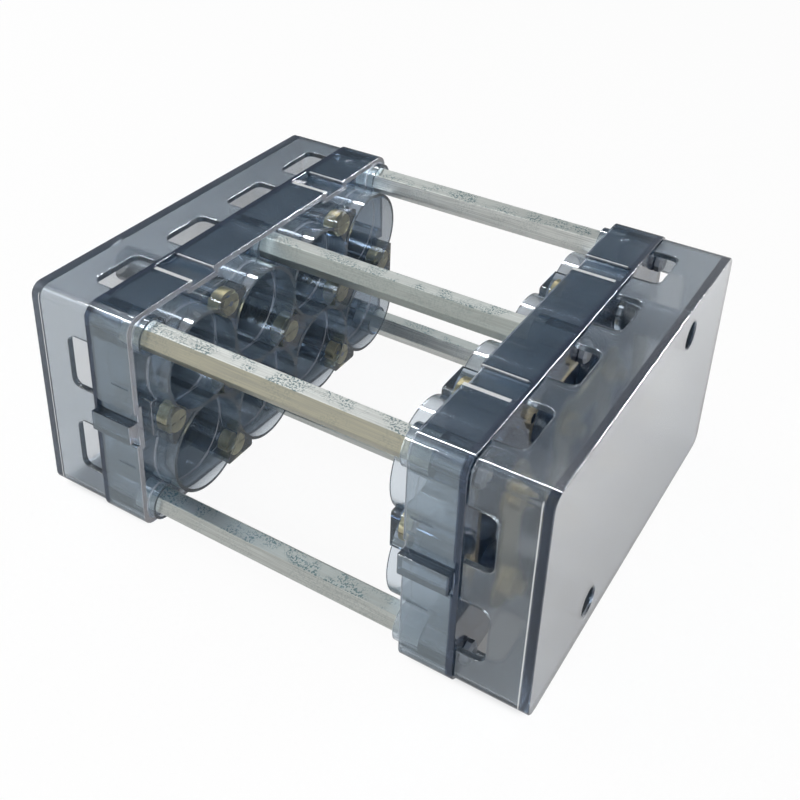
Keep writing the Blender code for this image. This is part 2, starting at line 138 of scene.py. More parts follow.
world = bpy.data.worlds.new("studio")
bpy.context.scene.world = world
world.use_nodes = True
world.node_tree.nodes.clear()
w = Wire(world.node_tree)
ray = w.node("ShaderNodeLightPath")
toward = w.node("ShaderNodeSeparateXYZ", Vector=w.out(w.node("ShaderNodeTexCoord"), "Generated"))
PLAIN, SEEN, SEEN_THROUGH = 0.5, 0.5, 0.1
FRONT_OF_ROOM, BACK_OF_ROOM, PALE_CORNER = 0.15, -0.36, 0.8
strength = PLAIN + w.out(ray, "Is Camera Ray") * SEEN + w.out(ray, "Is Transmission Ray") * SEEN_THROUGH
mirrored = w.out(toward, "Y").slope(-0.1, 0.5, FRONT_OF_ROOM, BACK_OF_ROOM)
pale_corner = w.out(toward, "X").slope(-0.27, -0.19) * w.out(toward, "Y").slope(0.5, 0.6)
strength = strength + w.out(ray, "Is Glossy Ray") * (mirrored + pale_corner * PALE_CORNER)
sky = w.node("ShaderNodeBackground", Color=(1, 1, 1, 1), Strength=strength)
world_output = world.node_tree.nodes.new("ShaderNodeOutputWorld")
world.node_tree.links.new(sky.outputs[0], world_output.inputs[0])

# The floor shows white. It glows brighter to the right in reflections and dimmer toward the back through
# the plastic, and carries a painted shadow under its end blocks and where it is seen through them
WHITE, MIRRORED_WHITE = 0.93, 0.9
white_floor, m, output = new_material("white_floor")
ray = m.node("ShaderNodeLightPath")
place = m.node("ShaderNodeSeparateXYZ", Vector=m.out(m.node("ShaderNodeTexCoord"), "Object"))
through = m.out(ray, "Is Transmission Ray")
out_x, out_y = (m.maths("ABSOLUTE", m.out(place, axis)) for axis in "XY")
painted_shadow_seen_through = out_x.slope(0.046, 0.056) * out_x.slope(0.088, 0.098, 1.0, 0.0)
painted_shadow_seen_through = painted_shadow_seen_through * out_y.slope(0.07, 0.082, 1.0, 0.0)
painted_shadow_under = out_x.slope(0.050, 0.056) * out_x.slope(0.088, 0.093, 1.0, 0.0)
painted_shadow_under = painted_shadow_under * out_y.slope(0.066, 0.074, 1.0, 0.0)
to_right = m.out(place, "X").slope(0.07, 0.16, 0.5, 1.6)
to_back = m.out(place, "Y").slope(0.0, 0.16, 1.05, 0.5)
looks = (
    (m.out(ray, "Is Camera Ray") * WHITE, 1 - painted_shadow_under * 0.8),
    (m.out(ray, "Is Glossy Ray") * (1 - through) * MIRRORED_WHITE, to_right),
    (through * WHITE, to_back * (1 - painted_shadow_seen_through * 0.85)),
)
surface = m.node("ShaderNodeBsdfDiffuse", Color=(0.9, 0.9, 0.9, 1))
for share, strength in looks:
    lit = m.node("ShaderNodeEmission", Color=(1, 1, 1, 1), Strength=strength)
    surface = m.node("ShaderNodeMixShader", Fac=share, _1=m.out(surface), _2=m.out(lit))
m.tree.links.new(surface.outputs[0], output.inputs[0])
bpy.ops.object.select_all(action="DESELECT")
bpy.ops.mesh.primitive_plane_add(size=12.0, location=(0, 0, -0.0006))
floor = bpy.context.object
floor.name = "floor"
floor.data.materials.append(white_floor)


def soft_box(name, place, size, power, lights_only=None, mirrored=True):
    """A lamp that faces the bracket. It can light one collection alone, and stay out of reflections."""
    light = bpy.data.lights.new(name, "AREA")
    light.shape = "RECTANGLE"
    light.size, light.size_y = size
    light.energy = power
    lamp = bpy.data.objects.new(name, light)
    bpy.context.scene.collection.objects.link(lamp)
    lamp.location = place
    lamp.visible_glossy = mirrored
    lamp.rotation_mode = "QUATERNION"
    lamp.rotation_quaternion = (Vector((0, 0, 0.04)) - Vector(place)).to_track_quat("-Z", "Y")
    if lights_only:
        lamp.visible_diffuse = False
        lamp.light_linking.receiver_collection = lights_only


soft_box("box_above", (-0.55, 0.0, 1.0), (0.9, 0.5), 1.6)
soft_box("box_front", (0.55, -0.95, 0.45), (0.8, 0.5), 9.0, mirrored=False)
soft_box("box_left", (-1.0, -0.1, 0.5), (0.6, 0.6), 3.0, mirrored=False)


# Socket holders
# Each is one moulding of clear smoky polycarbonate: a shallow box open toward the middle, with eight cups,
# six bosses for the spacer posts, and thick webs between the cups that take the brass inserts.
MM = 0.001
NEAR = 1e-6
# Along X: the seam with the cover, the inner edge of the skirt, and the rims of the cups and webs
SEAM, INNER, RIM = 68.9, 50.5, 41.5
WEB_RIM = RIM + 0.4
MIDDLE_Y, MIDDLE_Z = 1.575, 42.166
HALF_Y, HALF_Z, CORNER = 76.665, 42.166, 5.2
WALL, FLOOR = 2.0, 2.2
ROW, COLUMN, PITCH = 17.25, 51.75, 34.5
COLUMNS = (-COLUMN, -ROW, ROW, COLUMN)
ROWS = (-ROW, ROW)
SOCKET, CUP, COLLAR, TERMINAL_HOLE = 16.75, 17.95, 9.5, 6.5
POST_Y, POST_Z = 68.47, 33.97
POSTS = [(y, z) for z in (POST_Z, -POST_Z) for y in (-POST_Y, 0.0, POST_Y)]
BOSS, BOSS_RIM, MIDDLE_BOSS_RIM = 6.69, 47.5, 53.0
POCKET, POCKET_END, POST_HOLE = 5.69, 56.5, 2.25
INSERT_STEP = 12.84
INSERTS = [(y, 0.0) for y in (-PITCH, 0.0, PITCH)]
INSERTS += [(side * (COLUMN + INSERT_STEP), 0.0) for side in (-1, 1)]
INSERTS += [(y, side * (ROW + INSERT_STEP)) for side in (-1, 1) for y in (-PITCH, PITCH)]
# A web lies from WEB_NEAR to WEB_FAR beyond the middle of its cups
WEB, WEB_NEAR, WEB_FAR, WEB_ROUND = 6.96, 3.95, 17.24, 1.0
INSERT_POST, SCREW_WAY = 7.45, 1.75
# The grooves, the channel round the key, the key and the slot all stop short of the seam
GROOVE_STOP, GROOVE_Y, GROOVE, GROOVE_MOUTH, GROOVE_DEEP = 1.7, 39.5, 6.0, 4.6, 2.5
GROOVE_WALL, GROOVE_WALL_DEEP = 8.0, 4.3
CHANNEL, CHANNEL_DEEP, CHANNEL_ROUND = 6.4, 1.3, 0.6
KEY, KEY_EDGE, KEY_OUT = 3.1, 3.9, 3.15
KEY_WALL, KEY_WALL_FROM, KEY_WALL_TO = 8.4, 1.65, 3.3
SLOT, SLOT_MOUTH, SLOT_DEEP, SLOT_WALL_DEEP = 4.2, 3.2, 3.45, 5.45
CORE_LINE, CORE_LINE_X, CORE_LINE_Z = 0.12, (52.5, 59.5), 16.0
DIMPLE, DIMPLE_DEEP, DIMPLE_X, DIMPLE_Y = 1.2, 0.8, 58.5, 62


def only(piece):
    bpy.ops.object.select_all(action="DESELECT")
    piece.select_set(True)
    bpy.context.view_layer.objects.active = piece


def settle(piece):
    """Moves the place, turn and scale of an object into its mesh."""
    only(piece)
    bpy.ops.object.transform_apply(location=True, rotation=True, scale=True)
    return piece


def choose(piece, kind, wanted):
    """Opens a piece for editing, with those vertices, edges or polygons selected that a rule picks."""
    only(piece)
    bpy.context.tool_settings.mesh_select_mode = (kind == "vertices", kind == "edges", kind == "polygons")
    bpy.ops.object.mode_set(mode="EDIT")
    bpy.ops.mesh.select_all(action="DESELECT")
    bpy.ops.object.mode_set(mode="OBJECT")
    for item in getattr(piece.data, kind):
        item.select = wanted(item)
    bpy.ops.object.mode_set(mode="EDIT")


def done():
    bpy.ops.mesh.select_all(action="DESELECT")
    bpy.ops.object.mode_set(mode="OBJECT")


def brick(name, xs, ys, zs, radius=0.0, along=0):
    """A block in millimetres from the bracket's middle, with its edges along one axis rounded."""
    bpy.ops.object.select_all(action="DESELECT")
    bpy.ops.mesh.primitive_cube_add(size=1.0)
    piece = bpy.context.object
    piece.name = name
    piece.scale = [(pair[1] - pair[0]) * MM for pair in (xs, ys, zs)]
    piece.location = (sum(xs) / 2 * MM, (sum(ys) / 2 + MIDDLE_Y) * MM, (sum(zs) / 2 + MIDDLE_Z) * MM)
    settle(piece)
    if radius:

        def runs_along(edge):
            first, second = (piece.data.vertices[end].co[along] for end in edge.vertices)
            return abs(second - first) > NEAR

        choose(piece, "edges", runs_along)
        bpy.ops.mesh.bevel(offset=radius * MM, segments=6, profile=0.5, affect="EDGES")
        done()
    return piece


def barrel(name, xs, y, z, radius, sides=64, far_radius=None):
    """A round or many-sided bar along X, in millimetres from the bracket's middle."""
    bpy.ops.object.select_all(action="DESELECT")
    far = radius if far_radius is None else far_radius
    bpy.ops.mesh.primitive_cone_add(
        vertices=sides, radius1=radius * MM, radius2=far * MM, depth=abs(xs[1] - xs[0]) * MM
    )
    piece = bpy.context.object
    piece.name = name
    piece.rotation_euler = (0, math.copysign(math.pi / 2, xs[1] - xs[0]), 0)
    piece.location = (sum(xs) / 2 * MM, (y + MIDDLE_Y) * MM, (z + MIDDLE_Z) * MM)
    return settle(piece)


def flare(piece, side, direction, resize):
    """Widens or narrows the face of a block that lies farthest one way along an axis."""
    limit = max(vertex.co[side] * direction for vertex in piece.data.vertices)
    choose(piece, "vertices", lambda vertex: vertex.co[side] * direction > limit - NEAR)
    bpy.ops.transform.resize(value=resize)
    done()
    return piece


def shape(piece, operation, tools):
    """Joins tools to a piece or cuts them from it, and takes the tools away."""
    group = bpy.data.collections.new("tools")
    for tool in tools:
        group.objects.link(tool)
    step = piece.modifiers.new("shape", "BOOLEAN")
    step.operation = operation
    step.operand_type = "COLLECTION"
    step.collection = group
    step.solver = "EXACT"
    only(piece)
    bpy.ops.object.modifier_apply(modifier=step.name)
    for tool in tools:
        bpy.data.objects.remove(tool, do_unlink=True)
    bpy.data.collections.remove(group)


def even_out(piece):
    """Shades flat faces flat and round walls smooth."""
    only(piece)
    bpy.ops.object.shade_smooth_by_angle(angle=math.radians(35))
    even = piece.modifiers.new("even", "WEIGHTED_NORMAL")
    even.keep_sharp = True
    even.weight = 100
    bpy.ops.object.modifier_apply(modifier=even.name)


def soften(piece, width, segments=3, outside=lambda spot: True):
    """Rounds the sharp edges whose ends, in millimetres, pass a rule, and shades round walls smooth."""
    only(piece)
    bpy.ops.object.mode_set(mode="EDIT")
    bpy.ops.mesh.select_all(action="SELECT")
    bpy.ops.mesh.remove_doubles(threshold=NEAR)
    bpy.ops.mesh.dissolve_limited(angle_limit=math.radians(0.5))
    done()
    mesh = piece.data
    facing = {}
    for face in mesh.polygons:
        for pair in face.edge_keys:
            facing.setdefault(pair, []).append(face.normal.copy())
    middle = Vector((0, MIDDLE_Y, MIDDLE_Z))

    def rounded(edge):
        sides = facing.get(edge.key, [])
        ends = [mesh.vertices[end].co / MM - middle for end in edge.vertices]
        return len(sides) == 2 and sides[0].angle(sides[1], 0) > 0.6 and all(outside(end) for end in ends)

    choose(piece, "edges", rounded)
    bpy.ops.mesh.bevel(
        offset=width * MM, segments=segments, profile=0.5, affect="EDGES", clamp_overlap=False
    )
    done()
    even_out(piece)


def another(piece, name, matrix):
    """A copy with its own mesh, moved, turned or mirrored."""
    copy = bpy.data.objects.new(name, piece.data.copy())
    bpy.context.scene.collection.objects.link(copy)
    copy.matrix_world = matrix
    settle(copy)
    choose(copy, "polygons", lambda face: True)
    bpy.ops.mesh.normals_make_consistent(inside=False)
    bpy.ops.mesh.customdata_custom_splitnormals_clear()
    done()
    even_out(copy)
    return copy


def stands_for(piece, material, node):
    """Gives a piece its material and puts it in the place of a CAD node."""
    piece.data.materials.clear()
    piece.data.materials.append(material)
    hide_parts(node)
    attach(piece, "root")


holder = brick("holder_right_moulding", (INNER, SEAM), (-HALF_Y, HALF_Y), (-HALF_Z, HALF_Z), CORNER)
inner_y, inner_z = HALF_Y - WALL, HALF_Z - WALL
hollow = brick("hollow", (INNER - 1, SEAM - FLOOR), (-inner_y, inner_y), (-inner_z, inner_z), CORNER - WALL)
grooved = (INNER - 1, SEAM - GROOVE_STOP)
dip = (-HALF_Y - CHANNEL_DEEP, CHANNEL_DEEP - HALF_Y)
channel = brick("channel", grooved, dip, (-CHANNEL, CHANNEL), CHANNEL_ROUND)
shape(holder, "DIFFERENCE", [hollow, channel])

added, cut = [], []
for y in COLUMNS:
    for z in ROWS:
        added.append(barrel("cup", (RIM, SEAM - 1), y, z, CUP))
        added.append(barrel("collar", (SEAM - 1, SEAM + 3), y, z, COLLAR, 40))
        cut.append(barrel("socket", (RIM - 1, SEAM - FLOOR), y, z, SOCKET))
        cut.append(barrel("terminal_hole", (SEAM - 4, SEAM + 5), y, z, TERMINAL_HOLE, 40))
for y, z in POSTS:
    mouth = MIDDLE_BOSS_RIM if y == 0 else BOSS_RIM
    added.append(barrel("boss", (mouth, SEAM - 1), y, z, BOSS, 40))
    cut.append(barrel("pocket", (mouth - 1, POCKET_END), y, z, POCKET, 40))
    cut.append(barrel("post_hole", (POCKET_END - 0.5, SEAM + 1), y, z, POST_HOLE, 20))
web_length = (WEB_RIM, SEAM - 1)
for y, z in INSERTS:
    if z:
        low, high = sorted((math.copysign(ROW + WEB_NEAR, z), math.copysign(ROW + WEB_FAR, z)))
        added.append(brick("web", web_length, (y - WEB, y + WEB), (low, high), WEB_ROUND))
        cut.append(barrel("screw_way", (49, SEAM + 1), y, z, SCREW_WAY, 20))
    elif abs(y) > COLUMN:
        low, high = sorted((math.copysign(COLUMN + WEB_NEAR, y), math.copysign(COLUMN + WEB_FAR, y)))
        added.append(brick("web", web_length, (low, high), (-WEB, WEB), WEB_ROUND))
    else:
        added.append(barrel("insert_post", web_length, y, z, INSERT_POST, 40))

behind_groove = (HALF_Z - GROOVE_WALL_DEEP, HALF_Z - 1)
for y in (-GROOVE_Y, GROOVE_Y):
    wide = (y - GROOVE_WALL, y + GROOVE_WALL)
    added.append(brick("groove_wall", (INNER, SEAM - 1), wide, behind_groove, 0.8))
    groove = brick("groove", grooved, (y - GROOVE, y + GROOVE), (HALF_Z - GROOVE_DEEP, HALF_Z + 1))
    cut.append(flare(groove, 2, 1, (1, GROOVE_MOUTH / GROOVE, 1)))

stem = (INNER, SEAM - GROOVE_STOP)
behind_key = (KEY_WALL_FROM - HALF_Y, KEY_WALL_TO - HALF_Y)
added.append(brick("key_wall", (INNER, SEAM - 1), behind_key, (-KEY_WALL, KEY_WALL)))
added.append(brick("key_neck", stem, (-HALF_Y - 0.6, 2.3 - HALF_Y), (-KEY, KEY)))
key = brick("key", stem, (-HALF_Y - KEY_OUT, -HALF_Y), (-KEY, KEY))
added.append(flare(key, 1, -1, (1, 1, KEY_EDGE / KEY)))
behind_slot = (HALF_Y - SLOT_WALL_DEEP, HALF_Y - 1)
added.append(brick("slot_wall", (INNER, SEAM - 1), behind_slot, (-KEY_WALL, KEY_WALL)))
slot = brick("slot", grooved, (HALF_Y - SLOT_DEEP, HALF_Y + 1), (-SLOT, SLOT))
cut.append(flare(slot, 1, 1, (1, 1, SLOT_MOUTH / SLOT)))

skin = (-HALF_Y - 1, CORE_LINE - HALF_Y)
for z in (-CORE_LINE_Z, CORE_LINE_Z):
    cut.append(brick("core_line", CORE_LINE_X, skin, (z - CORE_LINE, z + CORE_LINE)))
bpy.ops.object.select_all(action="DESELECT")
bpy.ops.mesh.primitive_cylinder_add(
    vertices=24,
    radius=DIMPLE * MM,
    depth=DIMPLE_DEEP * MM,
    location=(DIMPLE_X * MM, (DIMPLE_Y + MIDDLE_Y) * MM, 2 * HALF_Z * MM),
)
dimple = bpy.context.object
dimple.name = "dimple"
cut.append(dimple)
shape(holder, "UNION", added)
shape(holder, "DIFFERENCE", cut)


def on_skin(half_y, half_z, corner):
    """A rule that picks what lies on or outside a box with rounded corners."""

    def rule(spot):
        past_y, past_z = abs(spot.y) - half_y + corner, abs(spot.z) - half_z + corner
        reach = math.hypot(max(past_y, 0), max(past_z, 0)) + min(max(past_y, past_z), 0)
        return reach > corner - 0.03

    return rule


soften(holder, 0.4, outside=on_skin(HALF_Y, HALF_Z, CORNER))


# The plastic's look follows the covers' ends, with painted shade at the screw tubes and windows and a
# painted highlight line across the covers' fronts near their ends
HIGHLIGHT_LINE_X, OUTER_FACE = 90.0, 93.38
TUBE_Z, TUBE_SHADE, TUBE_SHADE_FROM, TUBE_SHADE_TO = 30.09, 4.9, 70, 92.6
WINDOW_END, WINDOW_WIDE, SIDE_WINDOW_WIDE, WINDOW_ROUND = 78.5, 10.5, 10.0, 3.0
WINDOW_MIDDLE, WINDOW_REACH, WINDOW_REACH_Y, WINDOW_REACH_Z = 73.9, 4.7, 35, 6
RIM_WALL, TOP_FACE, FRONT_FACE, KEY_FACE = (39.3, 39.6), (80.5, 81.2), (73, 73.6), (76.8, 77.0)
LIP_FACE, INNER_LIP, OUTER_LIP, LIP_END = (83.6, 83.9), (-GROOVE, 0.9), (5.35, 0.3), 66
TOP_PAINTED_SHADE, NAVY, TINTED = (0.035, 0.06, 0.09, 1), (0.04, 0.06, 0.10, 1), (0.42, 0.50, 0.58, 1)
PAINTED_SHADE, RIM_PAINTED_LIGHT, PAINTED_HIGHLIGHT = (0.02, 0.025, 0.03, 1), (0.55, 0.54, 0.56, 1), (0.80, 0.81, 0.80, 1)


def clear_plastic(
    name, blur, density, wall, far_wall, change_x, top_shade_share, front_painted_haze, haze, frost, clouding
):
    """Clear tinted plastic with a thin milky share. Its walls turn to far_wall past change_x."""
    made, m, output = new_material(name)
    coords = m.node("ShaderNodeTexCoord")
    spot = m.out(coords, "Object")
    facing = m.node("ShaderNodeSeparateXYZ", Vector=m.out(coords, "Normal"))
    place = m.node("ShaderNodeSeparateXYZ", Vector=spot)
    upward = m.out(facing, "Z")
    forward = m.out(facing, "Y") * -1.0

    def more(value, limit):
        return m.maths("GREATER_THAN", value, limit * MM)

    def less(value, limit):
        return m.maths("LESS_THAN", value, limit * MM)

    def close_to(value, middle, reach):
        return m.maths("COMPARE", value, middle * MM, reach * MM)

    def rising(value, low, high):
        return value.slope(low * MM, high * MM)

    along = m.maths("ABSOLUTE", m.out(place, "X"))
    past = more(along, change_x)
    outer = more(along, OUTER_FACE)
    inner_rim = close_to(along, INNER, 0.2)
    # A painted highlight line across the covers' fronts, near the inside of their end walls
    highlight_line = close_to(along, HIGHLIGHT_LINE_X, 0.2)

    # Painted shade of the screw tubes, seen through the covers' walls
    from_y, from_z = m.out(place, "Y") - MIDDLE_Y * MM, m.out(place, "Z") - MIDDLE_Z * MM
    out_y, out_z = m.maths("ABSOLUTE", from_y), m.maths("ABSOLUTE", from_z)
    off_y, off_z = out_y - PITCH * MM, out_z - TUBE_Z * MM
    near_bore = m.maths("LESS_THAN", off_y * off_y + off_z * off_z, (TUBE_SHADE * MM) ** 2)
    own_side = more(m.out(place, "X") * from_y * from_z, 0.0)
    bore = near_bore * own_side * more(along, TUBE_SHADE_FROM) * less(along, TUBE_SHADE_TO)

    # Painted shade on the walls of the windows
    across, upright, endwise = (
        m.maths("ABSOLUTE", m.out(facing, axis)).slope(0.6, 0.8) for axis in "YZX"
    )
    far_out = rising(out_z, *RIM_WALL) * less(off_y, WINDOW_REACH_Y)
    far_aside = rising(off_y, *RIM_WALL) * less(off_z, WINDOW_REACH_Z)
    window_wall_shade = across * far_out + upright * far_aside
    window_wall_shade = window_wall_shade * close_to(along, WINDOW_MIDDLE, WINDOW_REACH)
    window_wall_shade = window_wall_shade + endwise * close_to(along, WINDOW_END, 0.3)

    # Painted light and shade: darker tops, milkier fronts, shade on the key's top and highlights on the
    # lips of the grooves
    # Painted shade on the key's top
    key_top_shade = upward.slope(0.3, 0.6) * rising(from_y * -1.0, *KEY_FACE)
    top = upward.slope(0.75, 0.95) * rising(m.out(place, "Z"), *TOP_FACE)
    front = forward.slope(0.75, 0.95) * rising(m.out(place, "Y") * -1.0, *FRONT_FACE)
    # The lips of the grooves: painted highlight lines
    off_groove = m.maths("SIGN", from_y) * (out_y - GROOVE_Y * MM)
    lip_highlight = close_to(off_groove, *INNER_LIP) + close_to(off_groove, *OUTER_LIP)
    lip_highlight = lip_highlight * less(along, LIP_END) * rising(m.out(place, "Z"), *LIP_FACE)

    glass = m.node(
        "ShaderNodeBsdfPrincipled",
        Base_Color=past.tint((*wall, 1), (*far_wall, 1)),
        Roughness=blur,
        IOR=1.45,
        Transmission_Weight=1.0,
        Coat_Weight=0.3,
        Coat_Roughness=0.03,
    )
    cloud = m.out(m.node("ShaderNodeTexNoise", Vector=spot, Scale=30.0, Detail=3.0), "Fac")
    milk = cloud.tint((*haze, 1), (*[part * 1.4 for part in haze], 1))
    # Fronts: a larger share of darker milk that the front lamp lights, a side painted lighter by its facing
    milk = front.tint(milk, (*[part * 0.75 for part in haze], 1))
    # Tops: painted shade in a dark grey blue
    milk = top.tint(milk, TOP_PAINTED_SHADE)
    milk = past.tint(milk, NAVY)
    # The holders' inner rim: painted light, pale where light shows through its edge
    milk = inner_rim.tint(milk, RIM_PAINTED_LIGHT)
    # Screw tubes, window walls and the key's top: painted shade, nearly black
    milk = (bore + window_wall_shade + key_top_shade).tint(milk, PAINTED_SHADE)
    # Groove lips and a line across the covers' fronts: painted highlights
    milk = (lip_highlight + highlight_line * front).tint(milk, PAINTED_HIGHLIGHT)
    body = m.node("ShaderNodeBsdfPrincipled", Base_Color=milk, Roughness=0.12)
    share = clouding + top * top_shade_share + front * front_painted_haze + inner_rim * 0.3 + past * 0.06
    share = share + bore * 0.7 + window_wall_shade * 0.6 + key_top_shade * 0.5 + lip_highlight * 0.2
    share = share + highlight_line * front * 0.4
    solid = m.node("ShaderNodeMixShader", Fac=share * (1 - outer), _1=m.out(glass), _2=m.out(body))
    satin = m.node(
        "ShaderNodeBsdfPrincipled",
        Base_Color=(0.80, 0.80, 0.80, 1),
        Roughness=0.5,
        IOR=1.45,
        Transmission_Weight=0.4,
    )
    solid = m.node("ShaderNodeMixShader", Fac=outer * frost, _1=m.out(solid), _2=m.out(satin))
    shadow = m.node("ShaderNodeBsdfTransparent", Color=(0.52, 0.56, 0.60, 1))
    in_shadow = m.out(m.node("ShaderNodeLightPath"), "Is Shadow Ray")
    mix = m.node("ShaderNodeMixShader", Fac=in_shadow, _1=m.out(solid), _2=m.out(shadow))
    m.tree.links.new(mix.outputs[0], output.inputs[0])
    inside = m.node("ShaderNodeVolumeAbsorption", Color=TINTED, Density=density)
    m.tree.links.new(inside.outputs[0], output.inputs["Volume"])
    return made


smoky = clear_plastic(
    "smoky_plastic",
    blur=0.06,
    density=230.0,
    wall=(0.84, 0.87, 0.90),
    far_wall=(0.36, 0.42, 0.49),
    change_x=66.6,
    top_shade_share=0.55,
    front_painted_haze=0.34,
    haze=(0.27, 0.33, 0.37),
    frost=0.0,
    clouding=0.08,
)
left_holder = another(holder, "holder_left_moulding", Matrix.Scale(-1, 4, (1, 0, 0)))
stands_for(holder, smoky, "holder_right")
stands_for(left_holder, smoky, "holder_left")


# Covers
# Each is a box moulded in paler clear plastic and screwed over the contact plates, with windows in its rim
# and two deep screw tubes. The end is satin outside. Narrow strips of light pick out the plastic's edges.
START, END, END_WALL = SEAM + 0.3, 93.4, 3.2
COVER_Y, COVER_Z, COVER_CORNER = HALF_Y - 0.8, HALF_Z - 0.8, 4.4
TUBE, BORE, BORE_RIM = 6.0, 4.8, 6.3
whole_y, whole_z = (-COVER_Y, COVER_Y), (-COVER_Z, COVER_Z)
cover = brick("cover_right_moulding", (START, END), whole_y, whole_z, COVER_CORNER)
inner_y, inner_z = COVER_Y - WALL, COVER_Z - WALL
inside = (SEAM - 1, END - END_WALL)
hollow = brick("hollow", inside, (-inner_y, inner_y), (-inner_z, inner_z), COVER_CORNER - WALL)
shape(cover, "DIFFERENCE", [hollow])
cut = []
open_to = (SEAM - 5, WINDOW_END)
for y in COLUMNS:
    for z in (-HALF_Z, HALF_Z):
        wide = (y - WINDOW_WIDE, y + WINDOW_WIDE)
        cut.append(brick("window", open_to, wide, (z - 4, z + 4), WINDOW_ROUND, along=2))
for z in ROWS:
    for y in (-HALF_Y, HALF_Y):
        wide = (z - SIDE_WINDOW_WIDE, z + SIDE_WINDOW_WIDE)
        cut.append(brick("side_window", open_to, (y - 4, y + 4), wide, WINDOW_ROUND, along=1))
tubes = []
for y, z in ((PITCH, TUBE_Z), (-PITCH, -TUBE_Z)):
    tubes.append(barrel("tube", (START, END - 1.6), y, z, TUBE, 40))
    cut.append(barrel("bore", (START + 2.0, END + 1), y, z, BORE, 40))
    cut.append(barrel("rim", (END - 0.5, END + 1), y, z, BORE, 40, far_radius=BORE_RIM))
    cut.append(barrel("hole", (SEAM - 1, SEAM + 3), y, z, SCREW_WAY, 20))
shape(cover, "UNION", tubes)
shape(cover, "DIFFERENCE", cut)
soften(cover, 0.45, outside=on_skin(COVER_Y, COVER_Z, COVER_CORNER))
clear = clear_plastic(
    "cover_plastic",
    blur=0.12,
    density=100.0,
    wall=(0.82, 0.85, 0.87),
    far_wall=(0.99, 0.99, 0.99),
    change_x=90.1,
    top_shade_share=0.27,
    front_painted_haze=0.06,
    haze=(0.24, 0.28, 0.31),
    frost=0.22,
    clouding=0.06,
)
axis = Matrix.Translation((0, MIDDLE_Y * MM, 0))
half_turn = axis @ Matrix.Rotation(math.pi, 4, "Z") @ axis.inverted()
left_cover = another(cover, "cover_left_moulding", half_turn)
stands_for(cover, clear, "cover_right")
stands_for(left_cover, clear, "cover_left")

mouldings = bpy.data.collections.new("mouldings")
for piece in (holder, left_holder, cover, left_cover):
    mouldings.objects.link(piece)
soft_box("strip_middle", (-0.50, -0.45, 0.86), (0.5, 0.12), 14.0, mouldings)
soft_box("strip_top", (-0.40, 0.50, 0.92), (0.8, 0.07), 15.0, mouldings)
soft_box("strip_behind", (0.45, 0.80, 0.62), (0.16, 0.3), 16.0, mouldings)


# Spacer posts
# Six bars of hexagonal steel, sawn to length, tapped at both ends and zinc plated, which leaves a spangle.
# A screw through the floor of each holder pulls them tight into their bosses, so they stand at any turn.
TURNS = {"top_front": 4.0, "top_back": 14.0, "bottom_front": 12.0}
WHERE = ("top_front", "top_middle", "top_back", "bottom_front", "bottom_middle", "bottom_back")
ACROSS_FLATS, BAR_END, TAP = 9.0, 56.2, 1.7
LIT_TOP_ZINC, SHADED_SIDE_ZINC, SHADED_ZINC = (0.76, 0.79, 0.77, 1), (0.56, 0.61, 0.57, 1), (0.30, 0.35, 0.34, 1)
PAINTED_LIGHT_ZINC, LOW_SHADE_ZINC, NEAREST_REFLECTION_ZINC = (0.94, 0.96, 0.93, 1), (0.26, 0.31, 0.32, 1), (0.60, 0.57, 0.43, 1)
SCRATCHES, SPANGLE = (0.36, 0.37, 0.35, 1), (0.10, 0.18, 0.20, 1)
zinc, m, output = new_material("zinc_plate")
coords = m.node("ShaderNodeTexCoord")
spot = m.out(coords, "Object")
facing = m.node("ShaderNodeSeparateXYZ", Vector=m.out(coords, "Normal"))
place = m.node("ShaderNodeSeparateXYZ", Vector=spot)


def noise(wire, spot, scale, stretch=None, detail=3.0):
    """Fine noise over a surface, drawn out along the axes that have the smaller factors of stretch."""
    if stretch:
        spot = wire.out(wire.node("ShaderNodeVectorMath", {"operation": "MULTIPLY"}, _0=spot, _1=stretch))
    made = wire.node("ShaderNodeTexNoise", Vector=spot, Scale=scale, Detail=detail, Roughness=0.6)
    return wire.out(made, "Fac")


upper = m.out(facing, "Z").slope(0.55, 0.8)
fore = (m.out(facing, "Y") * -1.0).slope(0.5, 0.8)
brushed = noise(m, spot, 1.0, (50, 2600, 2600), 4.0)
crystals = noise(m, spot, 1500.0, detail=2.0).slope(0.5, 0.57)
patches = noise(m, spot, 75.0, detail=2.0).slope(0.42, 0.56)
speckle = crystals * patches * (0.2 + upper * 0.8)
nearest = m.out(place, "Y").slope(-0.05, -0.06) * m.out(place, "Z").slope(0.04, 0.05)
low_down = m.out(place, "Z").slope(0.03, 0.02)
# Sides of the back posts and fronts of the low posts are painted paler: painted light
lit_side = (m.out(place, "Y").slope(0.05, 0.06) + low_down * 0.5) * fore
# Tops painted lighter and fronts darker: painted light and shade by facing
bare = (fore * 0.85).tint(LIT_TOP_ZINC, SHADED_SIDE_ZINC)
bare = ((1 - nearest) * (0.4 - fore * 0.2)).tint(bare, SHADED_ZINC)
bare = lit_side.tint(bare, PAINTED_LIGHT_ZINC)
# Tops of the low posts are painted darker: painted shade
bare = (low_down * upper * 0.5).tint(bare, LOW_SHADE_ZINC)
# The nearest post's fronts are painted a yellowish grey: painted reflection
bare = (nearest * fore * 0.9).tint(bare, NEAREST_REFLECTION_ZINC)
bare = (brushed.slope(0.3, 0.7) * 0.5).tint(bare, SCRATCHES)
bare = (speckle * 0.85).tint(bare, SPANGLE)
rise = m.node("ShaderNodeBump", Strength=0.25, Distance=0.00006, Height=brushed * 0.6 + crystals * 0.4)
metal = m.node(
    "ShaderNodeBsdfPrincipled",
    Base_Color=bare,
    Roughness=0.24 + brushed * 0.16 + speckle * 0.1,
    Metallic=0.92,
    Normal=m.out(rise),
)
m.tree.links.new(metal.outputs[0], output.inputs[0])

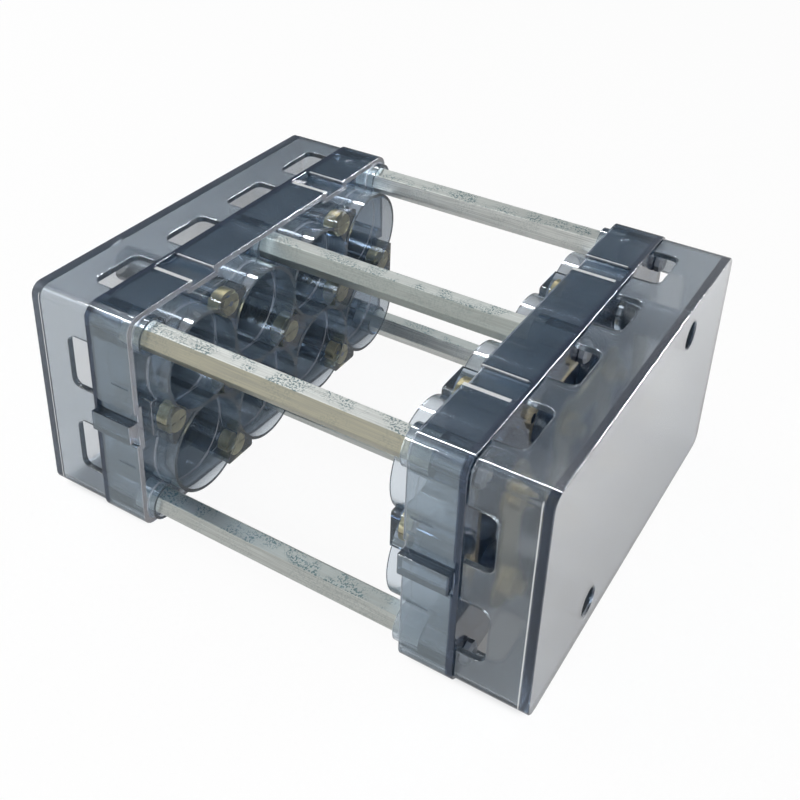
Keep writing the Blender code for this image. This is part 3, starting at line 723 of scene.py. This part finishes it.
bar = barrel("bar", (-BAR_END, BAR_END), 0, 0, ACROSS_FLATS / math.sqrt(3), 6)
shape(bar, "DIFFERENCE", [barrel("tap", (end, end * 0.72), 0, 0, TAP, 16) for end in (-57.0, 57.0)])
soften(bar, 0.28, 2)
middle = Matrix.Translation((0, MIDDLE_Y * MM, MIDDLE_Z * MM))
bars = bpy.data.collections.new("bars")
for (y, z), where in zip(POSTS, WHERE):
    turn = Matrix.Rotation(math.radians(TURNS.get(where, 0.0)), 4, "X")
    moved = Matrix.Translation((0, y * MM, z * MM))
    post = another(bar, "bar_" + where, moved @ middle @ turn @ middle.inverted())
    stands_for(post, zinc, "post_" + where)
    bars.objects.link(post)
bpy.data.objects.remove(bar, do_unlink=True)
soft_box("box_behind", (-0.55, 0.79, 0.76), (0.9, 0.6), 1.75, bars)


# Brass inserts
# Turned brass bushes with a threaded bore and a slit, nine in each holder.
# They are pressed into the ends of the webs, where they show through the plastic.
BUSH, BUSH_FROM, BUSH_TO, THREAD, SLIT = 4.2, 44.4, 48.8, 1.7, 0.22
brass, m, output = new_material("brass")
spot = m.out(m.node("ShaderNodeTexCoord"), "Object")
dull = noise(m, spot, 300.0).slope(0.4, 0.7)
bare = noise(m, spot, 1.0, (2400, 500, 500)).tint((0.60, 0.51, 0.29, 1), (0.42, 0.35, 0.19, 1))
bare = (dull * 0.5).tint(bare, (0.36, 0.30, 0.17, 1))
metal = m.node("ShaderNodeBsdfPrincipled", Base_Color=bare, Roughness=0.28 + dull * 0.2, Metallic=1.0)
m.tree.links.new(metal.outputs[0], output.inputs[0])

bush = barrel("bush", (BUSH_FROM, BUSH_TO), 0, 0, BUSH, 32)
cuts = [barrel("bore", (46.0, 50.0), 0, 0, THREAD, 16)]
cuts += [brick("slit", (43.0, 50.0), (side - 2, side + 2), (-SLIT, SLIT)) for side in (-3, 3)]
shape(bush, "DIFFERENCE", cuts)
soften(bush, 0.15, 1)
for side, word in ((1, "right"), (-1, "left")):
    for number, (y, z) in enumerate(INSERTS, 1):
        moved = Matrix.Diagonal((side, 1, 1, 1)) @ Matrix.Translation((0, y * MM, z * MM))
        piece = another(bush, "bush_%s_%d" % (word, number), moved)
        stands_for(piece, brass, "insert_%s_%d" % (word, number))
bpy.data.objects.remove(bush, do_unlink=True)


# Contact plates
# Pressed brass plates that join neighbouring cells, clamped to them by a stud and nut at each cell.
# They are the CAD solids with a rolled finish.
rolled_brass, m, output = new_material("contact_brass")
spot = m.out(m.node("ShaderNodeTexCoord"), "Object")
rolled = noise(m, spot, 1.0, (900, 60, 900))
bare = rolled.tint((0.42, 0.36, 0.24, 1), (0.26, 0.22, 0.15, 1))
metal = m.node("ShaderNodeBsdfPrincipled", Base_Color=bare, Roughness=0.3 + rolled * 0.15, Metallic=1.0)
m.tree.links.new(metal.outputs[0], output.inputs[0])
for name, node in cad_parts.items():
    if name.startswith("contact"):
        node.data.materials.clear()
        node.data.materials.append(rolled_brass)


# Screws
# Pan-head steel screws: one into each end of each post, and two that hold each cover from inside its tubes.
# They are the CAD solids with a dull zinc finish.
dull_steel, m, output = new_material("screw_steel")
grain = noise(m, m.out(m.node("ShaderNodeTexCoord"), "Object"), 1200.0)
bare = grain.tint((0.34, 0.35, 0.37, 1), (0.22, 0.23, 0.25, 1))
metal = m.node("ShaderNodeBsdfPrincipled", Base_Color=bare, Roughness=0.3 + grain * 0.15, Metallic=1.0)
m.tree.links.new(metal.outputs[0], output.inputs[0])
for name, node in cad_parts.items():
    if name.startswith(("post_screw", "cover_screw")):
        node.data.materials.clear()
        node.data.materials.append(dull_steel)
